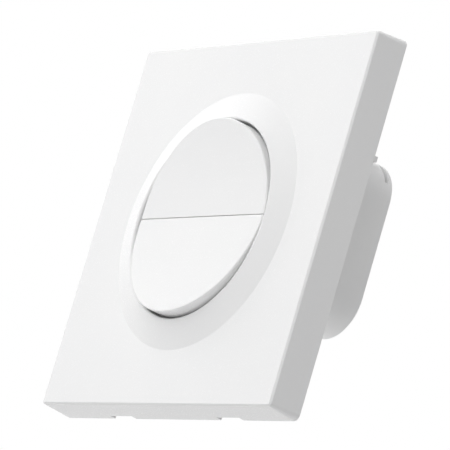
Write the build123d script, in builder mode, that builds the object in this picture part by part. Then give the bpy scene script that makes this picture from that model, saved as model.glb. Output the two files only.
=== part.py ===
from build123d import *
from math import cos, radians, tan
import os

# Two-button wall switch with a rear housing.
# The wall is the plane y = 0, the viewer stands at -Y, +X is to the viewer's right and +Z is up.

os.makedirs("parts", exist_ok=True)

# Faceplate
plate_width = 86.0
plate_draft = 4.6
plate_corner = 1.45
plate_edge = 0.38
front_wall = 2.0
side_wall = 1.8
cover_clear = 0.2
bezel_outer_r = 29.9
bezel_rise = 2.15
bezel_lip = 0.5
bezel_core_wall = 2.0
bore_r = 23.2
pry_notch_x = 19.8
pry_notch_width = 8.0
pry_notch_depth = 1.4

# Buttons
button_gap = 0.6
split_gap = 0.15
split_z = 0.4
centre_rise = 1.6
end_rise = 4.35
face_sag = 0.4
button_skin = 1.4
rim_edge = 0.3
split_edge = 0.1
skirt_clear = 0.1
stop_tab_width = 10.0
stop_tab_reach = 1.2
stop_tab_thick = 0.8
stop_clear = 0.05
press_angle = 1.6

# Button hinges
hinge_pin_r = 0.9
hinge_pin_length = 2.0
hinge_clear = 0.05
hinge_inset = 10.1
hinge_lug_thick = 1.6
hinge_lug_r = 1.3
hinge_lug_clear = 0.1
hinge_side_clear = 0.2
hinge_post_thick = 1.8
hinge_post_wall = 0.85
hinge_post_clear = 0.1
hinge_wall_clear = 0.425
hinge_snap = 0.3

# Carrier, frame and the boards between them, front to back
carrier_thick = 1.4
control_board_thick = 1.2
flange_thick = 1.4
frame_thick = 1.6
frame_rim = 1.4
frame_rim_height = 4.6
frame_clear = 0.2
frame_corner = 1.5
wall_slot_spacing = 60.0
wall_slot_length = 7.0
wall_slot_width = 4.2
clip_width = 8.0
clip_height = 1.2
clip_bite = 0.7
clip_clear = 0.2

# Rear housing
housing_half_width = 21.6
housing_top = 24.5
housing_bottom = -16.3
housing_depth = 22.85
housing_corner = 9.3
housing_wall = 1.6
housing_rear_wall = 1.2
housing_edge = 0.4
housing_fit = 0.2
ledge_bottom = -24.5
ledge_corner = 5.0
ledge_wall = 1.4
flange_lip = 3.4
flange_corner = 5.0
vent_width = 1.1
vent_drop = 5.1
corner_rib_width = 6.0
corner_rib_thick = 1.25
corner_rib_inset = 2.6
corner_rib_drop = 0.15
corner_rib_short = 4.85
boss_inset_x = 3.8
boss_inset_z = 3.7
boss_r = 2.5
boss_depth = 8.0
board_rib_depth = 1.2
board_rib_width = 2.0
board_rib_high_z = 12.0
board_rib_low_z = -8.0

# Carrier screws
screw_r = 1.25
screw_head_r = 2.4
screw_head_angle = 90.0
screw_length = 11.0
screw_clear = 0.05
screw_recess_width = 0.7
screw_recess_depth = 0.6

# Switches on the control board
tact_inset = 8.1
tact_size = 6.0
tact_height = 3.2
tact_edge = 0.4
plunger_r = 1.7
plunger_proud = 0.8
plunger_sunk = 0.9
plunger_room = 0.2
plunger_clear = 0.05
press_post_r = 2.0
press_gap = 0.08
window_clear = 0.3

# Boards
board_seat = 2.0
board_corner = 2.0
board_clear = 0.25
board_air = 1.2
power_board_thick = 1.6
radio_width = 16.0
radio_height = 24.0
radio_thick = 0.8
radio_x = -8.0
radio_z = 3.0
shield_width = 13.0
shield_height = 15.0
shield_depth = 2.2
shield_edge = 0.3
antenna_margin = 1.5
pin_count = 8
pin_pitch = 2.54
pin_width = 0.6
pin_clear = 0.06
header_width = 2.5
header_z = 5.0

# Terminals
pole_count = 4
pole_pitch = 5.08
terminal_depth = 8.0
terminal_height = 8.5
terminal_clear = 0.1
terminal_well_r = 2.1
terminal_cage_width = 4.0
terminal_cage_height = 3.4
terminal_cage_deep = 4.8
terminal_cage_wall = 0.6
terminal_floor = 0.8
terminal_fit = 0.05
wire_r = 1.6
wire_window_margin = 0.6
wire_window_height = 4.4
terminal_screw_r = 1.4
terminal_head_r = 1.9
terminal_head_height = 1.6
terminal_slot_width = 0.6
terminal_slot_depth = 0.7

# Parts on the power board
part_side_clear = 0.4
relay_length = 20.0
relay_room = 4.2
relay_edge = 0.6
relay_gap = 0.8
header_lane = 4.0
relay_z = 6.0
core_width = 12.0
core_length = 12.0
core_depth = 5.0
core_leg = 4.0
core_window = 2.3
core_window_length = 8.0
coil_depth = 9.0
coil_clear = 0.1
core_z = 8.0
capacitor_r = 4.0
capacitor_room = 6.2
capacitor_edge = 0.8
capacitor_z = -7.5
fuse_r = 3.8
fuse_height = 7.5
fuse_edge = 0.5
fuse_z = -9.5
varistor_r = 4.5
varistor_thick = 3.6
varistor_lift = 1.2
varistor_lead_r = 0.4
varistor_lead_pitch = 5.0
varistor_x = -4.0
varistor_z = -9.5
rectifier_width = 5.0
rectifier_length = 6.5
rectifier_height = 3.2
rectifier_edge = 0.5
rectifier_x = 4.5
rectifier_z = -8.5

# Depths worked out from the stack, front faces first
flange_front = -(frame_thick + flange_thick)
control_front = flange_front - control_board_thick
carrier_front = control_front - carrier_thick
cover_back = carrier_front - cover_clear
plate_front = cover_back - front_wall
board_gap = radio_thick + shield_depth + board_air
power_front = flange_front + board_gap
power_rear = power_front + power_board_thick
ledge_depth = power_rear + terminal_height + terminal_clear + ledge_wall
housing_inner_rear = housing_depth - housing_rear_wall
draft_slope = tan(radians(plate_draft))
edge_height = plate_edge * cos(radians(plate_draft))

# Buttons and hinges worked out from the plate
button_r = bore_r - button_gap
face_centre = plate_front - centre_rise
face_end = plate_front - end_rise
seat_r = hinge_pin_r + hinge_clear
post_half = seat_r + hinge_post_wall
hinge_offset = split_gap / 2 + button_skin + hinge_wall_clear + post_half
tact_offset = button_r - tact_inset
press_arm = tact_offset - hinge_offset
press_sweep = (button_r + abs(split_z) - hinge_offset) * radians(press_angle)
skirt_end = cover_back - press_sweep - skirt_clear
hinge_y = carrier_front - hinge_lug_r - hinge_lug_clear
hinge_lug_x = button_r - hinge_inset
plunger_top = control_front - tact_height - plunger_proud
press_travel = press_arm * radians(press_angle)

# Frame and housing widths worked out from the plate and the walls
frame_width = plate_width - 2 * (side_wall + frame_rim_height * draft_slope + frame_clear)
inner_half_width = housing_half_width - housing_wall
flange_width = 2 * (housing_half_width + flange_lip)
flange_height = housing_top - ledge_bottom + 2 * flange_lip
flange_z = (housing_top + ledge_bottom) / 2
clip_y = -(frame_thick + (frame_rim_height - frame_thick) / 2)
boss_x = inner_half_width - boss_inset_x
boss_high_z = housing_top - housing_wall - boss_inset_z
boss_low_z = ledge_bottom + housing_wall + boss_inset_z
component_x = inner_half_width - board_rib_depth - part_side_clear
relay_width = component_x - (core_width + header_lane + relay_gap) / 2
header_x = component_x - core_width - header_lane / 2


def facing(y):
    # Sketch plane parallel to the wall, seen by the viewer: x to the right, y up
    return Plane.XZ.offset(-y)


def boss_places():
    # The four carrier screws, one in each corner of the housing
    return [(x, z) for x in (-boss_x, boss_x) for z in (boss_low_z, boss_high_z)]


def header_places():
    # The pins that join the two boards, between the relays and the transformer
    first_z = header_z - (pin_count - 1) * pin_pitch / 2
    return [(header_x, first_z + i * pin_pitch) for i in range(pin_count)]


def write(piece, name):
    piece.part.label = name
    export_step(piece.part, f"parts/{name}.step")


# Faceplate: drafted square shell with a raised conical bezel and a round bore
with BuildPart() as faceplate:
    with BuildSketch(facing(0)):
        RectangleRounded(plate_width, plate_width, plate_corner)
    extrude(amount=-plate_front - edge_height, taper=plate_draft)
    # The bevel round the front is equally wide on the drafted side and on the front
    extrude(faceplate.faces().sort_by(Axis.Y)[0], amount=edge_height, taper=45 + plate_draft / 2)
    with BuildSketch(facing(0)):
        cavity_width = plate_width - 2 * side_wall
        Rectangle(cavity_width, cavity_width)
    extrude(amount=-cover_back, taper=plate_draft, mode=Mode.SUBTRACT)
    with BuildSketch(Plane.XY) as bezel_profile:
        with BuildLine():
            Polyline(
                (bore_r, cover_back),
                (bezel_outer_r, cover_back),
                (bezel_outer_r, plate_front),
                (bore_r, plate_front - bezel_rise),
                (bore_r, cover_back),
            )
        make_face()
        fillet(bezel_profile.vertices().sort_by(Axis.Y)[0], bezel_lip)
    revolve(axis=Axis.Y)
    with BuildSketch(facing(0)):
        Circle(bore_r)
    extrude(amount=-plate_front + bezel_rise, mode=Mode.SUBTRACT)
    # The underside of the bezel is cored out so that the wall stays even
    with BuildSketch(Plane.XY):
        core_outer_r = bezel_outer_r - front_wall / 2
        core_inner_r = bore_r + bezel_core_wall
        core_rise = bezel_rise * (core_outer_r - core_inner_r) / (bezel_outer_r - bore_r)
        with BuildLine():
            Polyline(
                (core_inner_r, cover_back),
                (core_outer_r, cover_back),
                (core_inner_r, cover_back - core_rise),
                (core_inner_r, cover_back),
            )
        make_face()
    revolve(axis=Axis.Y, mode=Mode.SUBTRACT)
    # Pry notches through the rear edge of the bottom wall
    with BuildSketch(facing(0)):
        with Locations((pry_notch_x, -plate_width / 2), (-pry_notch_x, -plate_width / 2)):
            Rectangle(pry_notch_width, 3 * side_wall)
    extrude(amount=pry_notch_depth, mode=Mode.SUBTRACT)
    # Clip noses on the top and bottom walls, which snap into the frame's windows
    nose_root = plate_width / 2 - side_wall / 2
    nose_tip = frame_width / 2 - clip_bite
    for side in (-1, 1):
        with BuildSketch(Plane.YZ.offset(side * pry_notch_x)):
            with BuildLine():
                Polyline(
                    (clip_y - clip_height / 2, nose_root),
                    (clip_y - clip_height / 2, nose_tip),
                    (clip_y, nose_tip),
                    (clip_y + clip_height / 2, frame_width / 2),
                    (clip_y + clip_height / 2, nose_root),
                    (clip_y - clip_height / 2, nose_root),
                )
            make_face()
            mirror(about=Plane.XZ)
        extrude(amount=clip_width / 2, both=True)
write(faceplate, "faceplate")


def dished_half(radius, edge_z, drop, lower_y):
    # Half disc above the split, its face a shallow arc that comes forward from the split to the rim
    with BuildPart() as half:
        with BuildSketch(Plane.YZ):
            with BuildLine():
                inner = (face_centre + drop, edge_z)
                outer = (face_end + drop, radius)
                SagittaArc(inner, outer, -face_sag)
                Polyline(outer, (lower_y, radius), (lower_y, edge_z), inner)
            make_face()
        extrude(amount=radius, both=True)
        with BuildSketch(facing(lower_y)):
            Circle(radius)
        extrude(amount=lower_y - face_end, mode=Mode.INTERSECT)
    return half


# Where the stop tabs lie, under the rear face of the bezel
tab_front = cover_back + stop_clear
tab_rear = tab_front + stop_tab_thick
tab_root = button_r - button_skin


def half_button(middle_z):
    # Hollow half disc above middle_z with a press post, hinge lugs with stub pins, and a stop tab
    edge_z = middle_z + split_gap / 2
    hinge_z = middle_z + hinge_offset
    shell = dished_half(button_r, edge_z, 0, skirt_end)
    core = dished_half(button_r - button_skin, edge_z + button_skin, button_skin, skirt_end)
    with BuildPart() as half:
        add(shell.part)
        face = half.faces().filter_by(GeomType.PLANE, reverse=True).sort_by(Axis.Y)[0]
        fillet(face.edges().filter_by(GeomType.LINE, reverse=True), rim_edge)
        fillet(half.edges().filter_by(Axis.X).sort_by(Axis.Y)[0], split_edge)
        add(core.part, mode=Mode.SUBTRACT)
        with BuildSketch(facing(plunger_top - press_gap)):
            with Locations((0, middle_z + tact_offset)):
                Circle(press_post_r)
        extrude(until=Until.NEXT)
        for side in (-1, 1):
            lug_centre = side * hinge_lug_x
            lug_length = hinge_y - face_centre - button_skin / 2
            with BuildSketch(Plane.YZ.offset(lug_centre)):
                with Locations((hinge_y, hinge_z)):
                    Circle(hinge_lug_r)
                with Locations((hinge_y - lug_length / 2, hinge_z)):
                    Rectangle(lug_length, 2 * hinge_lug_r)
            extrude(amount=hinge_lug_thick / 2, both=True)
            with BuildSketch(Plane.YZ.offset(lug_centre)):
                with Locations((hinge_y, hinge_z)):
                    Circle(hinge_pin_r)
            extrude(amount=side * (hinge_lug_thick / 2 + hinge_pin_length))
        with BuildSketch(facing(tab_rear)):
            with Locations((0, tab_root)):
                tab_length = bore_r + stop_tab_reach - tab_root
                Rectangle(stop_tab_width, tab_length, align=(Align.CENTER, Align.MIN))
        extrude(amount=stop_tab_thick)
        # Neck that carries the stop tab down from the skirt
        with BuildSketch(facing(tab_front)):
            Circle(button_r)
            Circle(tab_root, mode=Mode.SUBTRACT)
            with Locations((0, button_r)):
                Rectangle(stop_tab_width, 2 * button_skin + button_gap, mode=Mode.INTERSECT)
        extrude(amount=tab_front - skirt_end + button_skin)
    return half


# The split lies a little above the middle, so the lower button is the taller one
upper_button = half_button(split_z)
write(upper_button, "upper_button")

lower_half = half_button(-split_z)
with BuildPart() as lower_button:
    mirror(lower_half.part, about=Plane.XY)
write(lower_button, "lower_button")

# Button carrier: plate with hinge posts, switch windows, stop notches and countersunk screw holes
post_x = hinge_lug_x + hinge_lug_thick / 2 + hinge_side_clear + hinge_post_thick / 2
with BuildPart() as button_carrier:
    with BuildSketch(facing(control_front)):
        with Locations((0, flange_z)):
            RectangleRounded(flange_width, flange_height, flange_corner)
        with Locations((0, split_z + tact_offset), (0, split_z - tact_offset)):
            window = tact_size + 2 * window_clear
            Rectangle(window, window, mode=Mode.SUBTRACT)
        notch_width = stop_tab_width + 2 * button_gap
        notch_root = tab_root - button_gap
        for side in (-1, 1):
            with Locations((0, side * (notch_root + flange_height / 2))):
                Rectangle(notch_width, flange_height, mode=Mode.SUBTRACT)
    extrude(amount=carrier_thick)
    for x_side in (-1, 1):
        with BuildSketch(Plane.YZ.offset(x_side * post_x)):
            post_end = face_centre + button_skin + hinge_post_clear
            for hinge_z in (split_z + hinge_offset, split_z - hinge_offset):
                with Locations(((carrier_front + post_end) / 2, hinge_z)):
                    Rectangle(carrier_front - post_end, 2 * post_half)
                with Locations((hinge_y, hinge_z)):
                    Circle(seat_r, mode=Mode.SUBTRACT)
                with Locations(((hinge_y + post_end) / 2, hinge_z)):
                    Rectangle(hinge_y - post_end, 2 * hinge_pin_r - hinge_snap, mode=Mode.SUBTRACT)
        extrude(amount=hinge_post_thick / 2, both=True)
    with Locations(facing(carrier_front)):
        with Locations(*boss_places()):
            CounterSinkHole(
                screw_r + screw_clear,
                screw_head_r + screw_clear,
                depth=carrier_thick,
                counter_sink_angle=screw_head_angle,
            )
write(button_carrier, "button_carrier")

# Carrier screws: countersunk, with a plain cross recess
screw_cone = (screw_head_r - screw_r) / tan(radians(screw_head_angle / 2))
with BuildPart() as carrier_screws:
    with BuildSketch(Plane.XY):
        with BuildLine():
            Polyline(
                (0, carrier_front),
                (screw_head_r, carrier_front),
                (screw_r, carrier_front + screw_cone),
                (screw_r, carrier_front + screw_length - screw_r),
                (0, carrier_front + screw_length),
                (0, carrier_front),
            )
        make_face()
    revolve(axis=Axis.Y)
    with BuildSketch(facing(carrier_front)):
        Rectangle(2 * screw_r, screw_recess_width)
        Rectangle(screw_recess_width, 2 * screw_r)
    extrude(amount=-screw_recess_depth, mode=Mode.SUBTRACT)
    one_screw = carrier_screws.part
with BuildPart() as screw_set:
    for boss in boss_places():
        with Locations((boss[0], 0, boss[1])):
            add(one_screw)
write(screw_set, "carrier_screws")

# Mounting frame: tray behind the faceplate, with screw slots and clip windows
with BuildPart() as mounting_frame:
    with BuildSketch(facing(0)):
        RectangleRounded(frame_width, frame_width, frame_corner)
    extrude(amount=frame_rim_height)
    with BuildSketch(facing(-frame_thick)):
        RectangleRounded(frame_width - 2 * frame_rim, frame_width - 2 * frame_rim, frame_corner / 2)
    extrude(amount=frame_rim_height - frame_thick, mode=Mode.SUBTRACT)
    with BuildSketch(facing(0)):
        with Locations((0, flange_z)):
            RectangleRounded(
                2 * (housing_half_width + housing_fit),
                housing_top - ledge_bottom + 2 * housing_fit,
                flange_corner - flange_lip + housing_fit,
            )
        with GridLocations(wall_slot_spacing, 0, 2, 1):
            SlotOverall(wall_slot_length, wall_slot_width)
    extrude(amount=frame_thick, mode=Mode.SUBTRACT)
    with BuildSketch(Plane.XZ.offset(-clip_y - clip_height / 2 - clip_clear)):
        with GridLocations(2 * pry_notch_x, frame_width - frame_rim, 2, 2):
            Rectangle(clip_width + 2 * clip_clear, 2 * frame_rim)
    extrude(amount=clip_height + 2 * clip_clear, mode=Mode.SUBTRACT)
write(mounting_frame, "mounting_frame")


def housing_main(inset):
    with Locations((0, (housing_top + housing_bottom) / 2)):
        RectangleRounded(
            2 * (housing_half_width - inset),
            housing_top - housing_bottom - 2 * inset,
            housing_corner - inset,
        )


def housing_ledge(inset):
    # The ledge reaches up into the straight sides of the main box
    ledge_top = (housing_top + housing_bottom) / 2
    with Locations((0, ledge_bottom + inset)):
        RectangleRounded(
            2 * (housing_half_width - inset),
            ledge_top - ledge_bottom - inset,
            ledge_corner - inset,
            align=(Align.CENTER, Align.MIN),
        )


# Rear housing: box with a shallower terminal ledge below, a front flange and a vent slit over its top
pole_span = (pole_count - 1) * pole_pitch
terminal_low_z = ledge_bottom + housing_wall + terminal_clear
terminal_z = terminal_low_z + terminal_depth / 2
wire_y = power_rear + terminal_floor + terminal_cage_height / 2
with BuildPart() as rear_housing:
    with BuildSketch(facing(housing_depth)):
        housing_main(0)
    extrude(amount=housing_depth + frame_thick)
    with BuildSketch(facing(ledge_depth)):
        housing_ledge(0)
    extrude(amount=ledge_depth + frame_thick)
    fillet(rear_housing.faces().sort_by(Axis.Y)[-1].edges(), housing_edge)
    with BuildSketch(facing(-frame_thick)):
        with Locations((0, flange_z)):
            RectangleRounded(flange_width, flange_height, flange_corner)
    extrude(amount=flange_thick)
    # Ribs that square off the top corners behind the flange
    corner_rib_end = housing_depth - corner_rib_short
    corner_rib_x = housing_half_width - corner_rib_inset - corner_rib_width / 2
    corner_rib_z = housing_top - corner_rib_drop - corner_rib_thick / 2
    with BuildSketch(facing(corner_rib_end)):
        with Locations((-corner_rib_x, corner_rib_z), (corner_rib_x, corner_rib_z)):
            Rectangle(corner_rib_width, corner_rib_thick)
    extrude(amount=corner_rib_end + frame_thick)
    # Inside of the box and of the ledge
    with BuildSketch(facing(housing_inner_rear)):
        housing_main(housing_wall)
    extrude(amount=housing_inner_rear - flange_front, mode=Mode.SUBTRACT)
    with BuildSketch(facing(ledge_depth - ledge_wall)):
        housing_ledge(housing_wall)
    extrude(amount=ledge_depth - ledge_wall - flange_front, mode=Mode.SUBTRACT)
    # Screw bosses in the corners and ribs that carry the power board
    with BuildSketch(facing(boss_depth)):
        with Locations((boss_x, boss_high_z), (-boss_x, boss_high_z)):
            Circle(boss_r)
    extrude(amount=boss_depth - flange_front)
    with BuildSketch(facing(ledge_depth - ledge_wall)):
        with Locations((boss_x, boss_low_z), (-boss_x, boss_low_z)):
            Circle(boss_r)
    extrude(amount=ledge_depth - ledge_wall - flange_front)
    with BuildSketch(facing(housing_inner_rear)):
        for rib_z in (board_rib_high_z, board_rib_low_z):
            with GridLocations(2 * inner_half_width - board_rib_depth, 0, 2, 1):
                with Locations((0, rib_z)):
                    Rectangle(board_rib_depth, board_rib_width)
    extrude(amount=housing_inner_rear - power_rear)
    screw_bite = screw_length - carrier_thick - control_board_thick
    with BuildSketch(facing(flange_front)):
        with Locations(*boss_places()):
            Circle(screw_r + screw_clear)
    extrude(amount=-screw_bite - screw_clear, mode=Mode.SUBTRACT)
    # Vent slit just in front of the rear wall, over the top and round both top corners
    with BuildSketch(facing(housing_inner_rear)):
        with Locations((0, housing_top)):
            Rectangle(2 * housing_half_width, vent_drop, align=(Align.CENTER, Align.MAX))
    extrude(amount=vent_width, mode=Mode.SUBTRACT)
    # Screwdriver holes in the ledge's rear wall and a wire window in its bottom wall
    with BuildSketch(facing(ledge_depth)):
        with Locations((0, terminal_z)):
            with GridLocations(pole_pitch, 0, pole_count, 1):
                Circle(terminal_well_r)
    extrude(amount=ledge_wall, mode=Mode.SUBTRACT)
    with BuildSketch(Plane.XY.offset(ledge_bottom)):
        with Locations((0, wire_y)):
            Rectangle(pole_span + 2 * (wire_r + wire_window_margin), wire_window_height)
    extrude(amount=housing_wall, mode=Mode.SUBTRACT)
write(rear_housing, "rear_housing")

# Control board, clamped between the flange and the carrier
pin_hole_r = pin_width / 2 / cos(radians(45)) + pin_clear
with BuildPart() as control_board:
    with BuildSketch(facing(flange_front)):
        with Locations((0, flange_z)):
            RectangleRounded(
                2 * (inner_half_width + board_seat),
                housing_top - ledge_bottom - 2 * (housing_wall - board_seat),
                board_corner,
            )
        with Locations(*boss_places()):
            Circle(screw_r + screw_clear, mode=Mode.SUBTRACT)
        with Locations(*header_places()):
            Circle(pin_hole_r, mode=Mode.SUBTRACT)
    extrude(amount=control_board_thick)
write(control_board, "control_board")

# Power board, inside the housing and cut round the screw bosses
boss_room = boss_inset_x + boss_inset_z
with BuildPart() as power_board:
    with BuildSketch(facing(power_rear)):
        housing_main(housing_wall + board_clear)
        housing_ledge(housing_wall + board_clear)
        for x, z in boss_places():
            with Locations((x, z)):
                Circle(boss_r + board_clear, mode=Mode.SUBTRACT)
            # The corner outside the boss goes too
            x_align = Align.MIN if x > 0 else Align.MAX
            z_align = Align.MIN if z > 0 else Align.MAX
            with Locations((x, z)):
                Rectangle(boss_room, boss_room, align=(x_align, z_align), mode=Mode.SUBTRACT)
        with Locations(*header_places()):
            Circle(pin_hole_r, mode=Mode.SUBTRACT)
    extrude(amount=power_board_thick)
write(power_board, "power_board")

# Pin header between the two boards
with BuildPart() as header_body:
    with BuildSketch(facing(power_front)):
        with Locations((header_x, header_z)):
            Rectangle(header_width, pin_count * pin_pitch)
        with Locations(*header_places()):
            Circle(pin_hole_r, mode=Mode.SUBTRACT)
    extrude(amount=board_gap)
write(header_body, "header_body")

with BuildPart() as header_pins:
    with BuildSketch(facing(power_rear)):
        with Locations(*header_places()):
            Rectangle(pin_width, pin_width)
    extrude(amount=power_rear - control_front)
write(header_pins, "header_pins")

# Push switches on the control board, with their plungers
for name, z in (("upper", split_z + tact_offset), ("lower", split_z - tact_offset)):
    tact_top = control_front - tact_height
    with BuildPart() as tact_switch:
        with BuildSketch(facing(control_front)):
            with Locations((0, z)):
                Rectangle(tact_size, tact_size)
        extrude(amount=tact_height)
        chamfer(tact_switch.edges().filter_by(Axis.Y), tact_edge)
        with BuildSketch(facing(tact_top)):
            with Locations((0, z)):
                Circle(plunger_r + plunger_clear)
        extrude(amount=-(plunger_sunk + press_travel + plunger_room), mode=Mode.SUBTRACT)
    write(tact_switch, f"{name}_tact_switch")
    with BuildPart() as tact_plunger:
        with BuildSketch(facing(tact_top + plunger_sunk)):
            with Locations((0, z)):
                Circle(plunger_r)
        extrude(amount=plunger_sunk + plunger_proud)
    write(tact_plunger, f"{name}_tact_plunger")

# Radio board behind the control board, with a metal shield and a bare antenna end at the top
with BuildPart() as radio_board:
    with BuildSketch(facing(flange_front + radio_thick)):
        with Locations((radio_x, radio_z)):
            Rectangle(radio_width, radio_height)
    extrude(amount=radio_thick)
write(radio_board, "radio_board")

with BuildPart() as radio_shield:
    shield_z = radio_z - radio_height / 2 + antenna_margin + shield_height / 2
    with BuildSketch(facing(flange_front + radio_thick)):
        with Locations((radio_x, shield_z)):
            Rectangle(shield_width, shield_height)
    extrude(amount=-shield_depth)
    fillet(radio_shield.faces().sort_by(Axis.Y)[-1].edges(), shield_edge)
write(radio_shield, "radio_shield")

# Terminal block: a row of screw clamps, wires from below and screws from the rear
terminal_rear = power_rear + terminal_height
cage_low_y = power_rear + terminal_floor
cage_high_y = cage_low_y + terminal_cage_height
cage_z = terminal_low_z + terminal_depth - terminal_floor - terminal_cage_deep / 2
with BuildPart() as terminal_block:
    with BuildSketch(facing(terminal_rear)):
        with Locations((0, terminal_z)):
            Rectangle(pole_count * pole_pitch, terminal_depth)
    extrude(amount=terminal_height)
    with BuildSketch(facing(terminal_rear)):
        with Locations((0, terminal_z)):
            with GridLocations(pole_pitch, 0, pole_count, 1):
                Circle(terminal_well_r)
    extrude(amount=terminal_rear - cage_high_y, mode=Mode.SUBTRACT)
    with BuildSketch(facing(cage_high_y + terminal_fit)):
        with Locations((0, cage_z)):
            with GridLocations(pole_pitch, 0, pole_count, 1):
                Rectangle(terminal_cage_width + 2 * terminal_fit, terminal_cage_deep + 2 * terminal_fit)
    extrude(amount=terminal_cage_height + terminal_fit, mode=Mode.SUBTRACT)
    with BuildSketch(Plane.XY.offset(terminal_low_z)):
        with Locations((0, wire_y)):
            with GridLocations(pole_pitch, 0, pole_count, 1):
                Circle(wire_r)
    extrude(amount=cage_z - terminal_low_z, mode=Mode.SUBTRACT)
write(terminal_block, "terminal_block")

with BuildPart() as terminal_clamps:
    with BuildSketch(facing(cage_high_y)):
        with Locations((0, cage_z)):
            with GridLocations(pole_pitch, 0, pole_count, 1):
                Rectangle(terminal_cage_width, terminal_cage_deep)
    extrude(amount=terminal_cage_height)
    with BuildSketch(Plane.XY.offset(cage_z - terminal_cage_deep / 2)):
        with Locations((0, wire_y)):
            with GridLocations(pole_pitch, 0, pole_count, 1):
                clamp_width = terminal_cage_width - 2 * terminal_cage_wall
                clamp_height = terminal_cage_height - 2 * terminal_cage_wall
                Rectangle(clamp_width, clamp_height)
    extrude(amount=terminal_cage_deep, mode=Mode.SUBTRACT)
    with BuildSketch(facing(cage_high_y)):
        with Locations((0, terminal_z)):
            with GridLocations(pole_pitch, 0, pole_count, 1):
                Circle(terminal_screw_r + terminal_fit)
    extrude(amount=terminal_cage_wall, mode=Mode.SUBTRACT)
write(terminal_clamps, "terminal_clamps")

with BuildPart() as terminal_screws:
    head_rear = cage_high_y + terminal_head_height
    with BuildSketch(facing(head_rear)):
        with Locations((0, terminal_z)):
            with GridLocations(pole_pitch, 0, pole_count, 1):
                Circle(terminal_head_r)
    extrude(amount=terminal_head_height)
    with BuildSketch(facing(cage_high_y)):
        with Locations((0, terminal_z)):
            with GridLocations(pole_pitch, 0, pole_count, 1):
                Circle(terminal_screw_r)
    extrude(amount=terminal_cage_wall)
    with BuildSketch(facing(head_rear)):
        with Locations((0, terminal_z)):
            with GridLocations(pole_pitch, 0, pole_count, 1):
                Rectangle(2 * terminal_head_r, terminal_slot_width)
    extrude(amount=terminal_slot_depth, mode=Mode.SUBTRACT)
write(terminal_screws, "terminal_screws")

# Two relays side by side on the power board
left_relay_x = -component_x + relay_width / 2
relay_height = housing_inner_rear - power_rear - relay_room
for name, x in (("left", left_relay_x), ("right", left_relay_x + relay_width + relay_gap)):
    with BuildPart() as relay:
        with BuildSketch(facing(power_rear)):
            with Locations((x, relay_z)):
                Rectangle(relay_width, relay_length)
        extrude(amount=-relay_height)
        fillet(relay.faces().sort_by(Axis.Y)[-1].edges(), relay_edge)
    write(relay, f"{name}_relay")

# Transformer: a two-window core whose middle leg carries the coil
core_x = component_x - core_width / 2
core_mid_y = power_rear + coil_depth / 2
coil_width = core_leg + 2 * core_window - 2 * coil_clear
coil_length = core_window_length - 2 * coil_clear
with BuildPart() as transformer_core:
    with BuildSketch(facing(core_mid_y + core_depth / 2)):
        with Locations((core_x, core_z)):
            Rectangle(core_width, core_length)
            with GridLocations(core_leg + core_window, 0, 2, 1):
                Rectangle(core_window, core_window_length, mode=Mode.SUBTRACT)
    extrude(amount=core_depth)
write(transformer_core, "transformer_core")

with BuildPart() as transformer_coil:
    with BuildSketch(facing(power_rear)):
        with Locations((core_x, core_z)):
            Rectangle(coil_width, coil_length)
    extrude(amount=-coil_depth)
    fillet(transformer_coil.edges().filter_by(Axis.Z), core_window / 2)
    with BuildSketch(Plane.XY.offset(core_z)):
        with Locations((core_x, core_mid_y)):
            Rectangle(core_leg + 2 * coil_clear, core_depth + 2 * coil_clear)
    extrude(amount=core_length, both=True, mode=Mode.SUBTRACT)
write(transformer_coil, "transformer_coil")

# Bulk capacitor, fuse, varistor and rectifier
capacitor_x = component_x - capacitor_r
capacitor_height = housing_inner_rear - power_rear - capacitor_room
with BuildPart() as bulk_capacitor:
    with BuildSketch(facing(power_rear)):
        with Locations((capacitor_x, capacitor_z)):
            Circle(capacitor_r)
    extrude(amount=-capacitor_height)
    fillet(bulk_capacitor.faces().sort_by(Axis.Y)[-1].edges(), capacitor_edge)
write(bulk_capacitor, "bulk_capacitor")

fuse_x = -component_x + fuse_r
with BuildPart() as fuse:
    with BuildSketch(facing(power_rear)):
        with Locations((fuse_x, fuse_z)):
            Circle(fuse_r)
    extrude(amount=-fuse_height)
    chamfer(fuse.faces().sort_by(Axis.Y)[-1].edges(), fuse_edge)
write(fuse, "fuse")

varistor_y = power_rear + varistor_lift + varistor_r
with BuildPart() as varistor:
    with BuildSketch(Plane.XY.offset(varistor_z)):
        with Locations((varistor_x, varistor_y)):
            Circle(varistor_r)
    extrude(amount=varistor_thick / 2, both=True)
    fillet(varistor.edges().filter_by(GeomType.CIRCLE), varistor_thick / 3)
    with BuildSketch(facing(varistor_y)):
        with Locations((varistor_x, varistor_z)):
            with GridLocations(varistor_lead_pitch, 0, 2, 1):
                Circle(varistor_lead_r)
    extrude(amount=varistor_y - power_rear)
write(varistor, "varistor")

with BuildPart() as rectifier:
    with BuildSketch(facing(power_rear)):
        with Locations((rectifier_x, rectifier_z)):
            Rectangle(rectifier_width, rectifier_length)
    extrude(amount=-rectifier_height)
    chamfer(rectifier.faces().sort_by(Axis.Y)[-1].edges(), rectifier_edge)
write(rectifier, "rectifier")

print(f"hinge axes y {hinge_y:.3f}, z {split_z + hinge_offset:.3f} and {split_z - hinge_offset:.3f}")
print(f"press travel {press_travel:.4f} mm at {press_angle} degrees, arm {press_arm:.3f}")
bore_length = cage_z - terminal_cage_deep / 2 - terminal_fit - terminal_low_z
print(f"wire bores y {wire_y:.3f}, mouth z {terminal_low_z:.3f}, length {bore_length:.3f}")
print(f"ledge depth {ledge_depth:.3f}, frame width {frame_width:.3f}")
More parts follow.
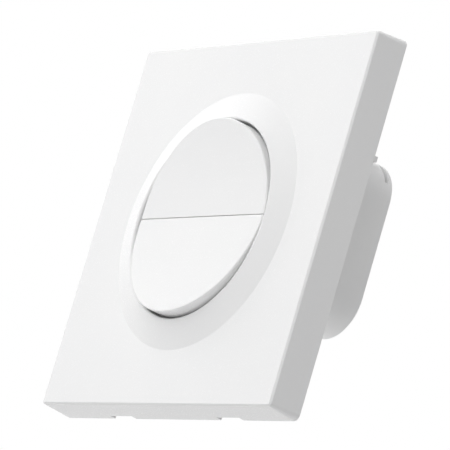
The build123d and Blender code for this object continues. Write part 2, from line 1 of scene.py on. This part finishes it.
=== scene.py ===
import bpy
from math import radians
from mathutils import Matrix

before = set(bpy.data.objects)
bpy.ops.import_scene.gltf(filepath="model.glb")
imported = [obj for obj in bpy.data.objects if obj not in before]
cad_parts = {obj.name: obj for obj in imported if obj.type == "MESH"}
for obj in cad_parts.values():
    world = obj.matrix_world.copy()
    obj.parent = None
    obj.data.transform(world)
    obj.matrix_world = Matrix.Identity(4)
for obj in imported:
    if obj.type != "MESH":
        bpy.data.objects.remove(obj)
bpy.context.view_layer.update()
print("frame loaded,", len(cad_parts), "nodes")


# an empty finish: material, its nodes and links, the shader and the coordinates on the object
def startFinish(name):
    mat = bpy.data.materials.new(name)
    mat.use_nodes = True
    nodes = mat.node_tree.nodes
    return mat, nodes, mat.node_tree.links, nodes["Principled BSDF"], nodes.new("ShaderNodeTexCoord")


noiseRoughness = 0.55


# noise of one size in metres, on stretched coordinates where asked
def addNoise(nodes, links, coords, size, detail, stretch=None):
    noise = nodes.new("ShaderNodeTexNoise")
    noise.inputs["Scale"].default_value = 1 / size
    noise.inputs["Detail"].default_value = detail
    noise.inputs["Roughness"].default_value = noiseRoughness
    if stretch:
        mapping = nodes.new("ShaderNodeMapping")
        mapping.inputs["Scale"].default_value = stretch
        links.new(coords.outputs["Object"], mapping.inputs["Vector"])
        links.new(mapping.outputs["Vector"], noise.inputs["Vector"])
    else:
        links.new(coords.outputs["Object"], noise.inputs["Vector"])
    return noise.outputs["Fac"]


# base colour that a pattern leads from one tone to another, over a span of its values
def addTone(nodes, links, shader, pattern, low, high, span):
    ramp = nodes.new("ShaderNodeValToRGB")
    for stop, place, tone in zip(ramp.color_ramp.elements, span, (low, high)):
        stop.position = place
        stop.color = (*tone, 1)
    links.new(pattern, ramp.inputs["Fac"])
    links.new(ramp.outputs["Color"], shader.inputs["Base Color"])
    return ramp.outputs["Color"]


# roughness that swings about its middle with a pattern
def addGloss(nodes, links, shader, pattern, middle, spread):
    gloss = nodes.new("ShaderNodeMapRange")
    gloss.inputs["To Min"].default_value = middle - spread
    gloss.inputs["To Max"].default_value = middle + spread
    links.new(pattern, gloss.inputs["Value"])
    links.new(gloss.outputs["Result"], shader.inputs["Roughness"])


# relief of one depth in metres
def addRelief(nodes, links, shader, pattern, strength, depth):
    bump = nodes.new("ShaderNodeBump")
    bump.inputs["Strength"].default_value = strength
    bump.inputs["Distance"].default_value = depth
    links.new(pattern, bump.inputs["Height"])
    links.new(bump.outputs["Normal"], shader.inputs["Normal"])


plasticPattern = {"cloudDetail": 3, "cloudSpan": (0.35, 0.65), "grainDetail": 4}


# moulded plastic: cloudy resin, and the fine grain of the tool in gloss and relief
def mouldedPlastic(name, look):
    mat, nodes, links, shader, coords = startFinish(name)
    shader.inputs["IOR"].default_value = look["ior"]
    cloud = addNoise(nodes, links, coords, look["cloudSize"], plasticPattern["cloudDetail"])
    addTone(nodes, links, shader, cloud, look["shade"], look["colour"], plasticPattern["cloudSpan"])
    grain = addNoise(nodes, links, coords, look["grainSize"], plasticPattern["grainDetail"])
    addGloss(nodes, links, shader, grain, look["roughness"], look["roughnessSpread"])
    addRelief(nodes, links, shader, grain, look["relief"], look["grainDepth"])
    return mat


metalPattern = {"lineDetail": 3, "lineSpan": (0.3, 0.7)}


# plated or tinned metal with fine drawn lines
def drawnMetal(name, look):
    mat, nodes, links, shader, coords = startFinish(name)
    shader.inputs["Metallic"].default_value = 1
    lines = addNoise(nodes, links, coords, look["lineSize"], metalPattern["lineDetail"], look["stretch"])
    addTone(nodes, links, shader, lines, look["shade"], look["colour"], metalPattern["lineSpan"])
    addGloss(nodes, links, shader, lines, look["roughness"], look["roughnessSpread"])
    addRelief(nodes, links, shader, lines, look["relief"], look["lineDepth"])
    return mat


boardPattern = {"trackRandomness": 0.55, "trackEdge": (0.40, 0.46)}


# printed board: copper tracks that stand up a little under the solder mask
def solderMask(name, look):
    mat, nodes, links, shader, coords = startFinish(name)
    shader.inputs["Roughness"].default_value = look["roughness"]
    shader.inputs["Coat Weight"].default_value = look["coat"]
    tracks = nodes.new("ShaderNodeTexVoronoi")
    tracks.feature = "F1"
    tracks.distance = "CHEBYCHEV"
    tracks.inputs["Scale"].default_value = 1 / look["trackPitch"]
    tracks.inputs["Randomness"].default_value = boardPattern["trackRandomness"]
    links.new(coords.outputs["Object"], tracks.inputs["Vector"])
    reach = tracks.outputs["Distance"]
    mask = addTone(nodes, links, shader, reach, look["shade"], look["colour"], boardPattern["trackEdge"])
    addRelief(nodes, links, shader, mask, look["relief"], look["trackHeight"])
    return mat


specklePattern = {"spotSpan": (0.25, 0.75), "peelDetail": 2}


# speckled grain all through, as in sintered ferrite or dipped epoxy
def speckledBody(name, look):
    mat, nodes, links, shader, coords = startFinish(name)
    shader.inputs["Coat Weight"].default_value = look["coat"]
    speckle = nodes.new("ShaderNodeTexVoronoi")
    speckle.inputs["Scale"].default_value = 1 / look["speckSize"]
    links.new(coords.outputs["Object"], speckle.inputs["Vector"])
    spots = speckle.outputs["Distance"]
    addTone(nodes, links, shader, spots, look["colour"], look["shade"], specklePattern["spotSpan"])
    peel = addNoise(nodes, links, coords, look["peelSize"], specklePattern["peelDetail"])
    addGloss(nodes, links, shader, peel, look["roughness"], look["roughnessSpread"])
    addRelief(nodes, links, shader, peel, look["relief"], look["peelDepth"])
    return mat


bandPattern = {"distortion": 1.5, "detail": 2, "bandSpan": (0.1, 0.6)}


# wound tape or shrunk sleeve: soft bands across one axis
def bandedWrap(name, look):
    mat, nodes, links, shader, coords = startFinish(name)
    bands = nodes.new("ShaderNodeTexWave")
    bands.bands_direction = look["across"]
    bands.inputs["Scale"].default_value = 1 / look["threeBands"]  # a wave repeats about three times in this
    bands.inputs["Distortion"].default_value = bandPattern["distortion"]
    bands.inputs["Detail"].default_value = bandPattern["detail"]
    links.new(coords.outputs["Object"], bands.inputs["Vector"])
    wave = bands.outputs["Fac"]
    addTone(nodes, links, shader, wave, look["shade"], look["colour"], bandPattern["bandSpan"])
    addGloss(nodes, links, shader, wave, look["roughness"], look["roughnessSpread"])
    addRelief(nodes, links, shader, wave, look["relief"], look["bandDepth"])
    return mat


# the largest of three ray tests
def anyOf(nodes, links, first, second, third):
    largest = first
    for test in (second, third):
        larger = nodes.new("ShaderNodeMath")
        larger.operation = "MAXIMUM"
        links.new(largest, larger.inputs[0])
        links.new(test, larger.inputs[1])
        largest = larger.outputs["Value"]
    return largest


# gives the named pieces one finish
def dress(finish, *names):
    for name in names:
        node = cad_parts[name]
        node.data.materials.clear()
        node.data.materials.append(finish)


# faceplate and buttons: one satin white; sizes and depths of every finish are in metres
satinWhite = {
    "colour": (0.872, 0.872, 0.872), "shade": (0.862, 0.863, 0.866), "cloudSize": 0.03, "ior": 1.46,
    "grainSize": 0.00022, "grainDepth": 0.000006, "relief": 0.01,
    "roughness": 0.27, "roughnessSpread": 0.014,
}
dress(mouldedPlastic("satinWhite", satinWhite), "faceplate", "upper_button", "lower_button")

# rear housing: the same resin with a stronger spark-eroded grain
housingWhite = {
    "colour": (0.868, 0.868, 0.868), "shade": (0.854, 0.855, 0.858), "cloudSize": 0.02, "ior": 1.46,
    "grainSize": 0.0003, "grainDepth": 0.00001, "relief": 0.14,
    "roughness": 0.3, "roughnessSpread": 0.04,
}
dress(mouldedPlastic("housingWhite", housingWhite), "rear_housing")

# frame and carrier: a shade duller
frameWhite = {
    "colour": (0.83, 0.83, 0.82), "shade": (0.81, 0.811, 0.806), "cloudSize": 0.016, "ior": 1.46,
    "grainSize": 0.00035, "grainDepth": 0.000015, "relief": 0.25,
    "roughness": 0.42, "roughnessSpread": 0.06,
}
dress(mouldedPlastic("frameWhite", frameWhite), "mounting_frame", "button_carrier")
print("white mouldings dressed")

zincSteel = {
    "colour": (0.64, 0.64, 0.62), "shade": (0.5, 0.5, 0.49), "lineSize": 0.0006, "stretch": (6, 1, 1),
    "lineDepth": 0.000008, "relief": 0.2, "roughness": 0.3, "roughnessSpread": 0.08,
}
dress(drawnMetal("zincSteel", zincSteel), "carrier_screws", "terminal_screws")

tinnedBrass = {
    "colour": (0.74, 0.72, 0.66), "shade": (0.62, 0.59, 0.52), "lineSize": 0.0008, "stretch": (1, 5, 1),
    "lineDepth": 0.000006, "relief": 0.15, "roughness": 0.34, "roughnessSpread": 0.07,
}
dress(drawnMetal("tinnedBrass", tinnedBrass), "terminal_clamps")

tinnedSheet = {
    "colour": (0.72, 0.72, 0.71), "shade": (0.63, 0.63, 0.63), "lineSize": 0.001, "stretch": (1, 1, 7),
    "lineDepth": 0.000005, "relief": 0.12, "roughness": 0.28, "roughnessSpread": 0.06,
}
dress(drawnMetal("tinnedSheet", tinnedSheet), "radio_shield")

goldFlash = {
    "colour": (0.82, 0.64, 0.3), "shade": (0.7, 0.5, 0.2), "lineSize": 0.0005, "stretch": (1, 0.2, 1),
    "lineDepth": 0.000004, "relief": 0.1, "roughness": 0.25, "roughnessSpread": 0.05,
}
dress(drawnMetal("goldFlash", goldFlash), "header_pins")
print("metal dressed")

greenMask = {
    "colour": (0.035, 0.24, 0.11), "shade": (0.02, 0.16, 0.07), "trackPitch": 0.0024,
    "trackHeight": 0.00004, "relief": 0.5, "roughness": 0.4, "coat": 0.4,
}
dress(solderMask("greenMask", greenMask), "control_board", "power_board")

blueMask = {
    "colour": (0.025, 0.07, 0.22), "shade": (0.012, 0.04, 0.14), "trackPitch": 0.0016,
    "trackHeight": 0.00003, "relief": 0.5, "roughness": 0.38, "coat": 0.4,
}
dress(solderMask("blueMask", blueMask), "radio_board")
print("boards dressed")

blackMoulding = {
    "colour": (0.034, 0.034, 0.035), "shade": (0.024, 0.024, 0.026), "cloudSize": 0.004, "ior": 1.5,
    "grainSize": 0.0003, "grainDepth": 0.00002, "relief": 0.35,
    "roughness": 0.45, "roughnessSpread": 0.08,
}
dress(
    mouldedPlastic("blackMoulding", blackMoulding),
    "header_body", "upper_tact_switch", "lower_tact_switch", "rectifier",
)

relayBlack = {
    "colour": (0.044, 0.045, 0.05), "shade": (0.033, 0.034, 0.038), "cloudSize": 0.006, "ior": 1.5,
    "grainSize": 0.0004, "grainDepth": 0.00002, "relief": 0.3,
    "roughness": 0.38, "roughnessSpread": 0.07,
}
dress(mouldedPlastic("relayBlack", relayBlack), "left_relay", "right_relay")

plungerGrey = {
    "colour": (0.26, 0.26, 0.27), "shade": (0.22, 0.22, 0.23), "cloudSize": 0.001, "ior": 1.5,
    "grainSize": 0.0002, "grainDepth": 0.00001, "relief": 0.25,
    "roughness": 0.42, "roughnessSpread": 0.06,
}
dress(mouldedPlastic("plungerGrey", plungerGrey), "upper_tact_plunger", "lower_tact_plunger")

terminalGreen = {
    "colour": (0.055, 0.31, 0.14), "shade": (0.04, 0.25, 0.11), "cloudSize": 0.004, "ior": 1.5,
    "grainSize": 0.0003, "grainDepth": 0.000015, "relief": 0.3,
    "roughness": 0.42, "roughnessSpread": 0.07,
}
dress(mouldedPlastic("terminalGreen", terminalGreen), "terminal_block")
print("small mouldings dressed")

sinteredFerrite = {
    "colour": (0.12, 0.12, 0.13), "shade": (0.07, 0.07, 0.078), "speckSize": 0.0003, "coat": 0.0,
    "peelSize": 0.0004, "peelDepth": 0.00003, "relief": 0.4, "roughness": 0.6, "roughnessSpread": 0.1,
}
dress(speckledBody("sinteredFerrite", sinteredFerrite), "transformer_core")

blueEpoxy = {
    "colour": (0.055, 0.16, 0.42), "shade": (0.035, 0.11, 0.32), "speckSize": 0.0005, "coat": 0.5,
    "peelSize": 0.0012, "peelDepth": 0.00006, "relief": 0.4, "roughness": 0.35, "roughnessSpread": 0.06,
}
dress(speckledBody("blueEpoxy", blueEpoxy), "varistor")

fuseBrown = {
    "colour": (0.23, 0.105, 0.05), "shade": (0.17, 0.075, 0.035), "speckSize": 0.0004, "coat": 0.1,
    "peelSize": 0.0006, "peelDepth": 0.00002, "relief": 0.3, "roughness": 0.45, "roughnessSpread": 0.08,
}
dress(speckledBody("fuseBrown", fuseBrown), "fuse")

coilTape = {
    "colour": (0.82, 0.64, 0.13), "shade": (0.68, 0.5, 0.08), "across": "Y", "threeBands": 0.02,
    "bandDepth": 0.00005, "relief": 0.4, "roughness": 0.36, "roughnessSpread": 0.06,
}
dress(bandedWrap("coilTape", coilTape), "transformer_coil")

darkSleeve = {
    "colour": (0.032, 0.042, 0.052), "shade": (0.024, 0.03, 0.04), "across": "Y", "threeBands": 0.03,
    "bandDepth": 0.00003, "relief": 0.3, "roughness": 0.28, "roughnessSpread": 0.05,
}
dress(bandedWrap("darkSleeve", darkSleeve), "bulk_capacitor")
print("inner parts dressed")

# pale floor, well below the part because the photo looks up at it; gloss sees it plain white
floorPlan = {
    "size": 12.0, "height": -1.3, "colour": (0.9, 0.9, 0.9, 1), "roughness": 0.9,
    "white": 1.0, "shown": 0.7,  # strength of the white, and its share to the camera
}
bpy.ops.object.select_all(action="DESELECT")
bpy.ops.mesh.primitive_plane_add(size=floorPlan["size"], location=(0, 0, floorPlan["height"]))
floor = bpy.context.active_object
floor.name = "floor"
floorMat, floorNodes, floorLinks, floorShader = startFinish("paleFloor")[:4]
floorShader.inputs["Base Color"].default_value = floorPlan["colour"]
floorShader.inputs["Roughness"].default_value = floorPlan["roughness"]
floorWhite = floorNodes.new("ShaderNodeEmission")
floorWhite.inputs["Strength"].default_value = floorPlan["white"]
floorRays = floorNodes.new("ShaderNodeLightPath")
floorShown = floorNodes.new("ShaderNodeMath")
floorShown.operation = "MULTIPLY"
floorShown.inputs[1].default_value = floorPlan["shown"]
floorLinks.new(floorRays.outputs["Is Camera Ray"], floorShown.inputs[0])
floorSeen = anyOf(
    floorNodes, floorLinks, floorShown.outputs["Value"],
    floorRays.outputs["Is Glossy Ray"], floorRays.outputs["Is Transmission Ray"],
)
floorPick = floorNodes.new("ShaderNodeMixShader")
floorLinks.new(floorSeen, floorPick.inputs["Fac"])
floorLinks.new(floorShader.outputs["BSDF"], floorPick.inputs[1])
floorLinks.new(floorWhite.outputs["Emission"], floorPick.inputs[2])
floorLinks.new(floorPick.outputs["Shader"], floorNodes["Material Output"].inputs["Surface"])
floor.data.materials.append(floorMat)
print("floor laid")

# white room: plain white to the camera and in reflections, while the lamps alone light the part
world = bpy.data.worlds.new("studio")
bpy.context.scene.world = world
world.use_nodes = True
worldNodes = world.node_tree.nodes
worldLinks = world.node_tree.links
room = worldNodes["Background"]
room.inputs["Color"].default_value = (1, 1, 1, 1)
roomRays = worldNodes.new("ShaderNodeLightPath")
roomSeen = anyOf(
    worldNodes, worldLinks, roomRays.outputs["Is Camera Ray"],
    roomRays.outputs["Is Glossy Ray"], roomRays.outputs["Is Transmission Ray"],
)
worldLinks.new(roomSeen, room.inputs["Strength"])

# soft round lamps that look at the part: place and size in metres, power in watts
lamps = {
    "leftKey": {"place": (-0.95, -0.4, 0.45), "size": 1.1, "power": 6.8},
    "leftRim": {"place": (-1.1, -0.12, 0.55), "size": 0.8, "power": 6.6},
    "frontFill": {"place": (0.0, -1.15, 0.0), "size": 1.1, "power": 1.2},
    "frontTop": {"place": (0.0, -0.8, 0.8), "size": 1.1, "power": 7.8},
    "frontRight": {"place": (0.8, -0.8, 0.1), "size": 1.1, "power": 4.15},
    "rightLow": {"place": (0.8, -0.3, -0.7), "size": 1.1, "power": 2.4},
    "lowLeft": {"place": (-0.3, -0.12, -0.42), "size": 0.5, "power": 0.72},
    "lowBack": {"place": (0.1, 1.05, -0.3), "size": 1.1, "power": 4.8},
    "topBack": {"place": (0.3, 0.68, 0.82), "size": 1.1, "power": 6.0},
}
for name, plan in lamps.items():
    lampData = bpy.data.lights.new(name, "AREA")
    lampData.shape = "DISK"
    lampData.size = plan["size"]
    lampData.energy = plan["power"]
    lamp = bpy.data.objects.new(name, lampData)
    bpy.context.scene.collection.objects.link(lamp)
    lamp.location = plan["place"]
    lamp.rotation_euler = (-lamp.location).to_track_quat("-Z", "Y").to_euler()
    lamp.visible_glossy = False  # reflections show the white room, not the lamps
print("light on")

# long lens, from the right and below, rolled as the photo is: place in metres, turn in degrees, lens in mm
photoCamera = {
    "place": (0.82198, -0.55651, -0.23371),
    "turn": (103.8734, -16.0337, 52.1295),
    "lens": 373.81, "film": 36.0,
}
cameraData = bpy.data.cameras.new("photoCamera")
cameraData.lens = photoCamera["lens"]
cameraData.sensor_width = photoCamera["film"]
camera = bpy.data.objects.new("photoCamera", cameraData)
bpy.context.scene.collection.objects.link(camera)
camera.location = photoCamera["place"]
camera.rotation_euler = [radians(angle) for angle in photoCamera["turn"]]
bpy.context.scene.camera = camera
bpy.context.scene.view_settings.view_transform = "Standard"
print("camera set")
